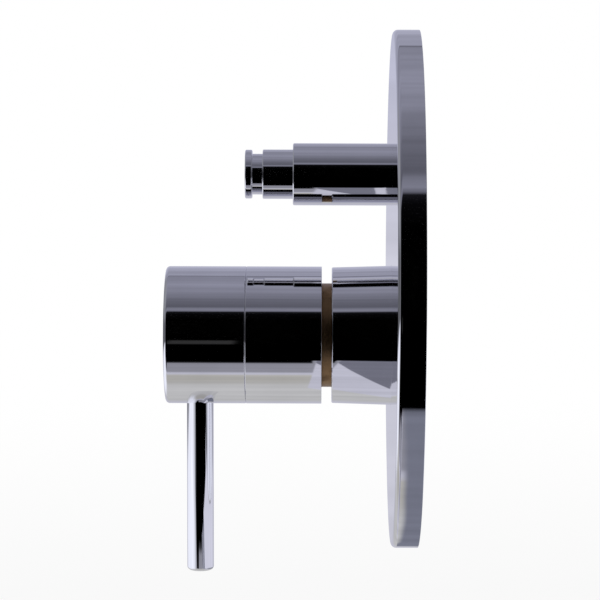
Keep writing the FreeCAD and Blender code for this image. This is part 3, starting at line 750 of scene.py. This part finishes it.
def chrome(name, base, waves, wave_scale, smudge=0.03, hairlines=0.01):
    """Polished chrome with its own roughness and its own amount of waves, smudges and hairlines."""
    material, tree, shader = start_material(name)
    amounts = {"Base": base, "Smudge": smudge, "Waves": waves, "Wave Scale": wave_scale, "Hairlines": hairlines}
    polish = group_node(tree, polish_group, amounts)
    dulled = tuple(smudge_dulling * c for c in CHROME)
    tree.links.new(two_tone(tree, polish.outputs["Shade"], CHROME, dulled), shader.inputs["Base Color"])
    tree.links.new(polish.outputs["Roughness"], shader.inputs["Roughness"])
    shader.inputs["Metallic"].default_value = 1.0
    add_bump(tree, shader, polish.outputs["Height"], polish_depth)
    return material


finishes = {
    "polished_plate": chrome("chrome_plate", base=0.025, waves=1.0, wave_scale=70.0),
    "polished_sleeve": chrome("chrome_sleeve", base=0.025, waves=0.5, wave_scale=60.0),
    "polished_handle": chrome("chrome_handle", base=0.025, waves=0.5, wave_scale=50.0),
    "polished_lever": chrome("chrome_lever", base=0.025, waves=0.3, wave_scale=60.0),
    "polished_knob": chrome("chrome_knob", base=0.03, waves=0.3, wave_scale=90.0),
}
print("chrome materials", len(finishes))

# %% [markdown]
# ## Brass, steel, plastic, ceramic and rubber
#
# Most of these pieces sit inside. They still get their own finish, because the parts can be shown apart. One
# function makes them all: two tones, a roughness, a bump, and whether it is metal.

# %% Plain finishes
spot_roughness = 0.12


def plain_finish(name, plain, marked, roughness, metallic, scale, coarse, spots, bump):
    """Two tones mixed by spots, with bump from fine and coarse grain. Spots are rougher."""
    material, tree, shader = start_material(name)
    grain = group_node(tree, grain_group, {"Scale": scale, "Coarse Scale": coarse, "Spots": spots})
    mask = grain.outputs["Mask"]
    tree.links.new(two_tone(tree, mask, plain, marked), shader.inputs["Base Color"])
    varied = math_node(tree, "ADD", times(tree, mask, spot_roughness), roughness)
    tree.links.new(varied, shader.inputs["Roughness"])
    shader.inputs["Metallic"].default_value = metallic
    add_bump(tree, shader, grain.outputs["Height"], bump)
    return material


# Each row: slot, material, plain tone, marked tone, roughness, metal, fine and coarse scale, spots, bump.
for slot_name, *looks in (
    # The brass tones are much darker than bare brass: painted shade for the narrow gap around its neck.
    ("raw_brass", "brass_darkened_for_shade", (0.32, 0.20, 0.10), (0.20, 0.12, 0.055), 0.42, 1.0, 1500, 150, 0.5, 0.00006),
    ("turned_steel", "steel_turned", (0.62, 0.63, 0.65), (0.50, 0.50, 0.52), 0.24, 1.0, 2500, 200, 0.45, 0.00002),
    ("spring_steel", "steel_spring", (0.55, 0.56, 0.58), (0.40, 0.38, 0.36), 0.3, 1.0, 3000, 400, 0.45, 0.00001),
    ("seal_rubber", "rubber_black", (0.05, 0.05, 0.05), (0.08, 0.08, 0.08), 0.6, 0.0, 2500, 300, 0.45, 0.00003),
    ("gasket_foam", "foam_grey", (0.18, 0.18, 0.19), (0.11, 0.11, 0.12), 0.9, 0.0, 1800, 900, 0.55, 0.0002),
    ("grey_plastic", "plastic_grey", (0.35, 0.37, 0.40), (0.31, 0.33, 0.36), 0.42, 0.0, 2500, 250, 0.5, 0.00002),
    ("white_plastic", "plastic_white", (0.86, 0.86, 0.84), (0.80, 0.80, 0.77), 0.38, 0.0, 2500, 250, 0.5, 0.00002),
    ("lapped_ceramic", "ceramic_lapped", (0.93, 0.93, 0.90), (0.88, 0.88, 0.86), 0.16, 0.0, 4000, 500, 0.5, 0.000004),
):
    finishes[slot_name] = plain_finish(*looks)
print("finishes", len(finishes))

# %% Dress every piece
dress(plate, finishes["polished_plate"])
dress(mixer_tube, finishes["polished_sleeve"])
dress(diverter_tube, finishes["polished_sleeve"])
dress(ring, finishes["polished_handle"])
dress(cap, finishes["polished_handle"])
dress(rod, finishes["polished_lever"])
dress(knob, finishes["polished_knob"])
dress(spring, finishes["spring_steel"])
for part in frame["record"]["subparts"]:
    dress(frame["nodes"][part["node"]], finishes[part["material_slot"]])

# %% [markdown]
# ## The studio
#
# A photographer puts polished metal in a tent, so that it has something calm to show. Here the tent is a
# shell around the object that only reflections can see. It has a dark opening where the camera stands, a grey
# softbox above, a pale table close below, a panel on the user's side and a folded sheet beside the plate. A
# shell of a real size shifts its reflections from piece to piece, as a real room does. It leans with the
# camera's elevation.

# %% Tones of the tent
CAMERA_LEAN = math.radians(8.0)
COOL = (0.97, 0.98, 1.23)
PALE = (0.98, 0.98, 1.13)
PLAIN = (1.0, 1.0, 1.0)
WARM = (1.02, 1.0, 0.94)


def tone(display, tint=PLAIN, angle=0.0):
    """Radiance that chrome at that reflected angle shows as a display value.

    The display value is made linear, and divided by what the metal reflects at half the angle: its base
    colour plus the rest times one minus the cosine, to the fifth power.
    """
    linear = ((display / 255 + 0.055) / 1.055) ** 2.4
    facing = math.cos(math.radians(abs(angle) / 2))
    share = CHROME[0] + (1 - CHROME[0]) * (1 - facing) ** 5
    return [linear / share * part for part in tint] + [1.0]


bands = [
    (-180, 206, PALE), (-150, 186, PALE), (-132, 182, PLAIN), (-104, 187, PLAIN),
    (-88, 183, PLAIN), (-78, 173, WARM), (-68.5, 173, WARM), (-67, 186, PALE),
    (-65, 186, PALE), (-63, 140, PALE), (-46, 138, PALE), (38, 120, COOL),
    (42.5, 120, COOL), (45.5, 88, COOL), (59, 103, COOL), (76, 131, COOL),
    (89, 139, COOL), (113.8, 128, COOL), (114.6, 95, COOL), (115.6, 95, COOL),
    (116.8, 155, COOL), (127, 148, COOL), (143, 165, COOL), (160, 182, COOL),
    (178, 206, PALE), (180, 206, PALE),
]
print("bands", len(bands))

# %% Node helpers for the studio
def ramp_node(tree, stops, value):
    """Colour ramp with (position, colour) stops, read at a value."""
    node = tree.nodes.new("ShaderNodeValToRGB")
    node.color_ramp.elements[0].position = stops[0][0]
    node.color_ramp.elements[0].color = stops[0][1]
    node.color_ramp.elements[1].position = stops[-1][0]
    node.color_ramp.elements[1].color = stops[-1][1]
    for position, colour in stops[1:-1]:
        node.color_ramp.elements.new(position).color = colour
    tree.links.new(value, node.inputs["Fac"])
    return node.outputs["Color"]


def grey(value):
    """Opaque grey."""
    return (value, value, value, 1.0)


def turned(angle):
    """Place on a ramp of an angle from -180 to 180 degrees."""
    return angle / 360 + 0.5


def soft_step(tree, value, start, end):
    """0 up to the start, 1 past the end, smooth between. The end may be the lower one."""
    node = tree.nodes.new("ShaderNodeMapRange")
    node.interpolation_type = "SMOOTHSTEP"
    tree.links.new(value, node.inputs["Value"])
    node.inputs["From Min"].default_value = start
    node.inputs["From Max"].default_value = end
    return node.outputs["Result"]


def between_steps(tree, value, low, high, soft):
    """1 between low and high, with soft edges."""
    rise = soft_step(tree, value, low - soft, low + soft)
    fall = soft_step(tree, value, high + soft, high - soft)
    return times(tree, rise, fall)


def angle_place(tree, up, along):
    """Angle of a point around an axis as a place on a ramp, where 0.5 looks along the second number."""
    angle = math_node(tree, "ARCTAN2", up, along)
    return math_node(tree, "ADD", math_node(tree, "DIVIDE", angle, 2 * math.pi), 0.5)


def length_of(tree, vector):
    """Length of a vector."""
    node = tree.nodes.new("ShaderNodeVectorMath")
    node.operation = "LENGTH"
    tree.links.new(vector, node.inputs[0])
    return node.outputs["Value"]


def scaled(tree, colour, factor):
    """Colour times a value."""
    node = tree.nodes.new("ShaderNodeVectorMath")
    node.operation = "SCALE"
    tree.links.new(colour, node.inputs[0])
    tree.links.new(factor, node.inputs["Scale"])
    return node.outputs[0]


# %% [markdown]
# ### What hangs in the tent
#
# The tent's material is laid on from the back to the front, as one would hang a studio: first the bands, then
# panel, wall side and sheet, and the opening and what stands in it last. Each of them is a mask. Places are
# read in metres from the object: towards the camera, towards the wall and up. Angles in degrees say how far a
# place is turned around the line along the wall, or aside from the camera to the user.

# %% Tent: places on the shell
tent_material = bpy.data.materials.new("tent_cloth")
tent_material.use_nodes = True
cloth = tent_material.node_tree
cloth.nodes.clear()
lean = cloth.nodes.new("ShaderNodeVectorRotate")
lean.rotation_type = "Y_AXIS"
lean.inputs["Angle"].default_value = CAMERA_LEAN
cloth.links.new(object_vector(cloth), lean.inputs["Vector"])
split = cloth.nodes.new("ShaderNodeSeparateXYZ")
cloth.links.new(lean.outputs["Vector"], split.inputs[0])
to_camera, to_wall, up = split.outputs
to_user = times(cloth, to_wall, -1.0)
below = times(cloth, up, -1.0)
distance = length_of(cloth, lean.outputs["Vector"])
user_side = math_node(cloth, "DIVIDE", to_user, distance)
turn = angle_place(cloth, up, to_camera)
aside = angle_place(cloth, to_user, to_camera)
depth_down = times(cloth, math_node(cloth, "SUBTRACT", 0.5, turn), 360.0)
print("place nodes", len(cloth.nodes))

# %% [markdown]
# The panel on the user's side is darkest beside the camera and lightest in front of the handle. It is a soft
# cloth, lit more strongly low down, so its light is a sum of shares by height and by nearness to the camera.

# %% Tent: bands and the user's panel
shade = ramp_node(cloth, [(turned(a), tone(v, tint, a)) for a, v, tint in bands], turn)
panel_angles = [-180, 50, 57, 65, 73, 81, 121, 141, 173, 180]
panel_levels = [0.5, 0.45, 0.6, 0.88, 1.1, 1.15, 1.04, 0.85, 0.65, 0.65]
panel_tint = (0.96, 0.98, 1.08)
least_light, low_light, deep_light, high_light, flank_light = 0.12, 0.70, 0.18, 0.18, 0.25
panel_tones = [(*(part * level for part in panel_tint), 1.0) for level in panel_levels]
panel = ramp_node(cloth, [(turned(a), colour) for a, colour in zip(panel_angles, panel_tones)], aside)
low_share = soft_step(cloth, below, 0.070, 0.100)
high_share = soft_step(cloth, up, 0.05, 0.13)
flank_share = soft_step(cloth, to_camera, 0.18, 0.28)
light = math_node(cloth, "ADD", times(cloth, low_share, low_light), times(cloth, high_share, high_light))
light = math_node(cloth, "MAXIMUM", light, times(cloth, flank_share, flank_light))
light = math_node(cloth, "ADD", light, least_light)
light = math_node(cloth, "ADD", light, times(cloth, low_share, deep_light))
panel_share = soft_step(cloth, user_side, 0.58, 0.78)
shade = mix_colour(cloth, panel_share, shade, scaled(cloth, panel, light))
print("panel tones", len(panel_tones))

# %% Tent: the wall's side
wall_dark = (0.14, 0.14, 0.17, 1.0)
foot_grey = (0.21, 0.22, 0.28, 1.0)
wall_share = soft_step(cloth, user_side, -0.35, -0.6)
wall_tone = mix_colour(cloth, soft_step(cloth, below, 0.085, 0.110), wall_dark, tone(207, PALE))
shade = mix_colour(cloth, wall_share, shade, wall_tone)
steepness = math_node(cloth, "DIVIDE", below, distance)
foot = times(
    cloth,
    soft_step(cloth, to_wall, -0.005, -0.002),
    soft_step(cloth, steepness, 0.60, 0.66),
    soft_step(cloth, to_wall, 0.10, 0.06),
)
shade = mix_colour(cloth, foot, shade, foot_grey)
print("nodes with the wall's side", len(cloth.nodes))

# %% [markdown]
# A pale sheet hangs beside the plate, with a darker fold in it. The sleeves show it as a wedge, and the ring
# shows its edge. The edges of the sheet and of its fold run askew, by a small length for each degree that
# they lie further down.

# %% Tent: the folded sheet
sheet_top = 45.0
sheet_slant, fold_slant, end_slant = 0.00007, 0.000546, -850.0
past_top = math_node(cloth, "SUBTRACT", depth_down, sheet_top)
sheet_place = math_node(cloth, "ADD", to_wall, times(cloth, past_top, sheet_slant))
sheet_end = math_node(cloth, "ADD", times(cloth, to_wall, end_slant), depth_down)
sheet = times(
    cloth,
    between_steps(cloth, sheet_place, -0.0355, -0.0042, 0.0004),
    soft_step(cloth, depth_down, 39, 41),
    soft_step(cloth, sheet_end, 126.0, 124.0),
)
shade = mix_colour(cloth, sheet, shade, tone(189, PALE))
fold_place = math_node(cloth, "SUBTRACT", to_wall, times(cloth, past_top, fold_slant))
fold_left = soft_step(cloth, fold_place, -0.0376, -0.0368)
fold_right = soft_step(cloth, to_wall, -0.0112, -0.0118)
shade = mix_colour(cloth, times(cloth, fold_left, fold_right, sheet), shade, tone(113, COOL))
print("nodes with the sheet", len(cloth.nodes))

# %% Tent: soft waves in the cloth
wave_depth, wave_base = 0.44, 0.76
waves = noise_node(cloth, object_vector(cloth, (45, 5, 45)), 1.0, 3.0, 0.55)
shade = scaled(cloth, shade, math_node(cloth, "ADD", times(cloth, waves, wave_depth), wave_base))
print("nodes with the waves", len(cloth.nodes))

# %% [markdown]
# The opening makes the long dark stripe of every cylinder. Each cylinder shows it a little differently, because
# its lower edge lies higher towards the plate and much lower far on the user's side.

# %% Tent: the dark opening around the camera
def mask_ramp(levels, value):
    """Mask along an angle from (degrees, level) pairs, and 0 at both ends of the ramp."""
    stops = [(turned(angle), grey(level)) for angle, level in levels]
    return ramp_node(cloth, [(0.0, grey(0)), *stops, (1.0, grey(0))], value)


def opening_ramp(low, soft=0.6):
    """Mask of the opening by height: dark from the low angle to its soft upper edge."""
    return mask_ramp([(low - soft, 0), (low + soft, 1), (24, 1), (33, 0.992), (36.8, 0.96), (38.4, 0)], turn)


def width_ramp(low, high):
    """Mask of the opening from side to side, up to the soft edge on the user's side."""
    return mask_ramp([(-42, 0), (-40, 1), (low, 1), (high, 0)], aside)


heights = opening_ramp(-48.2)
for place, start, end, low in (
    (to_wall, -0.0375, -0.0365, -44.4),
    (to_wall, -0.0075, -0.0065, -43.2),
    (to_user, 0.100, 0.110, -80),
):
    heights = mix_colour(cloth, soft_step(cloth, place, start, end), heights, opening_ramp(low))
widths = mix_colour(cloth, soft_step(cloth, to_camera, 0.15, 0.24), width_ramp(54, 57), width_ramp(48, 53))
shade = mix_colour(cloth, times(cloth, heights, widths), shade, grey(0.0))
print("nodes with the opening", len(cloth.nodes))

# %% Tent: lamp strip and pale stand in the opening
lamp_strip = times(
    cloth,
    between_steps(cloth, depth_down, 11.2, 17.0, 1.2),
    between_steps(cloth, to_wall, -0.105, -0.074, 0.002),
)
shade = mix_colour(cloth, lamp_strip, shade, tone(46))
stand_side = math_node(cloth, "SUBTRACT", 1.0, soft_step(cloth, aside, turned(-10), turned(-9)))
stand_low = soft_step(cloth, below, 0.095, 0.105)
stand_reach = between_steps(cloth, to_camera, 0.03, 0.1775, 0.0075)
stand = times(cloth, stand_side, times(cloth, stand_low, stand_reach))
shade = mix_colour(cloth, stand, shade, tone(205, PALE))
print("nodes with strip and stand", len(cloth.nodes))

# %% Tent: it glows by itself
glow = cloth.nodes.new("ShaderNodeEmission")
cloth.links.new(shade, glow.inputs["Color"])
cloth_output = cloth.nodes.new("ShaderNodeOutputMaterial")
cloth.links.new(glow.outputs[0], cloth_output.inputs["Surface"])
tent_material.cycles.emission_sampling = "NONE"
print("tent nodes", len(cloth.nodes))

# %% Tent: the shell itself
TENT_DEPTH = 0.45
TENT_BULGE = 0.35
tent_angles = np.array([-180, -150, -120, -90, -60, -46, -25, 0, 38, 60, 90, 115, 150, 180.0])
tent_reaches = np.array([0.30, 0.27, 0.170, 0.147, 0.170, 0.200, 0.33, 0.44, 0.462, 0.36, 0.27, 0.264, 0.29, 0.30])


def shell(name, angles, reaches, depth, rings, around):
    """Closed shell around the origin, narrow near the object's low side.

    A point at a turn around Y lies at the reach read from the table for that turn, times a power of the
    cosine of the ring's angle, and at the depth times its sine along Y. The shell leans with the camera.
    """
    ring = np.linspace(-np.pi / 2, np.pi / 2, rings)[:, None]
    turning = (np.arange(around) * 2 * np.pi / around - np.pi)[None]
    reach_here = np.interp(np.degrees(turning), angles, reaches)
    width = np.maximum(np.cos(ring), 0.0) ** TENT_BULGE
    ahead = reach_here * width * np.cos(turning)
    high = reach_here * width * np.sin(turning)
    sideways = depth * np.sin(ring) * np.ones_like(turning)
    lean_cos, lean_sin = math.cos(CAMERA_LEAN), math.sin(CAMERA_LEAN)
    grid = np.stack(
        [ahead * lean_cos - high * lean_sin, sideways, ahead * lean_sin + high * lean_cos],
        axis=-1,
    )
    index = np.arange(rings * around).reshape(rings, around)
    return bare_mesh(name, grid.reshape(-1, 3).tolist(), quads_between(index[:-1], index[1:]).tolist())


tent = shell("tent", tent_angles, tent_reaches, TENT_DEPTH, 129, 360)
dress(tent, tent_material)
for kind in ("camera", "diffuse", "transmission", "volume_scatter", "shadow"):
    setattr(tent, f"visible_{kind}", False)
print("tent faces", len(tent.data.polygons))

# %% [markdown]
# ## Light and floor
#
# What isn't reflection is lit by a plain soft sky and one large lamp, weak enough that a colour looks as it
# is written. The camera, and anything that looks past the tent, sees a white background. The floor far below
# keeps a soft shadow.

# %% World
world = bpy.data.worlds.new("studio")
scene.world = world
world.use_nodes = True
sky = world.node_tree
sky.nodes.clear()


def seen_share(tree):
    """1 for rays from the camera, from reflections and through glass, 0 for soft light."""
    paths = tree.nodes.new("ShaderNodeLightPath")
    share = math_node(tree, "MAXIMUM", paths.outputs["Is Camera Ray"], paths.outputs["Is Glossy Ray"])
    return math_node(tree, "MAXIMUM", share, paths.outputs["Is Transmission Ray"])


sky_low, sky_high = (0.50, 0.50, 0.50, 1.0), (0.80, 0.80, 0.81, 1.0)
sky_split = sky.nodes.new("ShaderNodeSeparateXYZ")
sky.links.new(sky.nodes.new("ShaderNodeTexCoord").outputs["Generated"], sky_split.inputs[0])
soft_sky = mix_colour(sky, soft_step(sky, sky_split.outputs[2], -0.6, 0.8), sky_low, sky_high)
background = sky.nodes.new("ShaderNodeBackground")
sky.links.new(mix_colour(sky, seen_share(sky), soft_sky, grey(1.0)), background.inputs["Color"])
world_output = sky.nodes.new("ShaderNodeOutputWorld")
sky.links.new(background.outputs[0], world_output.inputs["Surface"])
print("world nodes", len(sky.nodes))

# %% Floor
FLOOR_Z = -0.45
FLOOR_REACH = 6.0
floor_corners = [(sx * FLOOR_REACH, sy * FLOOR_REACH, FLOOR_Z) for sx, sy in ((-1, -1), (1, -1), (1, 1), (-1, 1))]
floor = bare_mesh("floor", floor_corners, [(0, 1, 2, 3)])
floor.visible_glossy = False
print("floor at", FLOOR_Z)

# %% Floor's material, which glows for the camera and fades to white far away
floor_material, ground, floor_shader = start_material("floor_pale")
floor_noise = noise_node(ground, object_vector(ground), 12.0, 3.0)
floor_tone = two_tone(ground, floor_noise, (0.80, 0.80, 0.79), (0.83, 0.83, 0.82))
ground.links.new(floor_tone, floor_shader.inputs["Base Color"])
floor_shader.inputs["Roughness"].default_value = 0.8
near_glow = 0.7
floor_far = length_of(ground, object_vector(ground))
far_glow = times(ground, soft_step(ground, floor_far, 0.7, 2.5), 0.3)
glow_share = math_node(ground, "ADD", far_glow, near_glow)
floor_glow = ground.nodes.new("ShaderNodeEmission")
floor_mix = ground.nodes.new("ShaderNodeMixShader")
ground.links.new(times(ground, seen_share(ground), glow_share), floor_mix.inputs[0])
ground.links.new(floor_shader.outputs["BSDF"], floor_mix.inputs[1])
ground.links.new(floor_glow.outputs[0], floor_mix.inputs[2])
ground.links.new(floor_mix.outputs[0], ground.nodes["Material Output"].inputs["Surface"])
dress(floor, floor_material)
print("floor nodes", len(ground.nodes))

# %% Lamp
lamp_data = bpy.data.lights.new("key", "AREA")
lamp_data.shape = "RECTANGLE"
lamp_data.size = 1.2
lamp_data.size_y = 0.8
lamp_data.energy = 8.0
lamp = bpy.data.objects.new("key", lamp_data)
lamp.location = (0.3, -1.0, 1.1)
lamp.rotation_euler = (-lamp.location).to_track_quat("-Z", "Y").to_euler()
lamp.visible_glossy = False
scene.collection.objects.link(lamp)
print("lamp", lamp_data.energy, "W")

# %% [markdown]
# ## Camera
#
# The photographer looked at the part from its side and a little from above, with a long lens, about a metre
# away. The place below is given in a frame that leans with the line of sight, and then turned into the frame
# of the parts.

# %% Camera
CAMERA_PLACE = Vector((1.0, -0.0334, -0.0054))
CAMERA_YAW = math.radians(-0.44)
CAMERA_PITCH = math.radians(-0.08)
CAMERA_ROLL = math.radians(0.20)
FOCAL_PIXELS = 2866.0
PICTURE_PIXELS = 600.0
camera_data = bpy.data.cameras.new("camera")
camera = bpy.data.objects.new("camera", camera_data)
scene.collection.objects.link(camera)
scene.camera = camera
camera_data.sensor_width = 36.0
camera_data.lens = camera_data.sensor_width * FOCAL_PIXELS / PICTURE_PIXELS
camera_data.clip_start = 0.05
camera_data.clip_end = 50.0
level = math.cos(CAMERA_PITCH)
sight = Vector((math.cos(CAMERA_YAW) * level, -math.sin(CAMERA_YAW) * level, math.sin(CAMERA_PITCH)))
across = Vector((0, 0, 1)).cross(sight).normalized()
upright = sight.cross(across)
rolled_across = math.cos(CAMERA_ROLL) * across + math.sin(CAMERA_ROLL) * upright
rolled_upright = math.cos(CAMERA_ROLL) * upright - math.sin(CAMERA_ROLL) * across
leaning = Matrix.Rotation(-CAMERA_LEAN, 3, "Y")
camera.location = leaning @ CAMERA_PLACE
camera.rotation_mode = "QUATERNION"
axes = Matrix((rolled_across, rolled_upright, sight)).transposed()
camera.rotation_quaternion = (leaning @ axes).to_quaternion()
print("lens", round(camera_data.lens, 1), "place", [round(v, 3) for v in camera.location])

# %% Look
scene.view_settings.view_transform = "Standard"
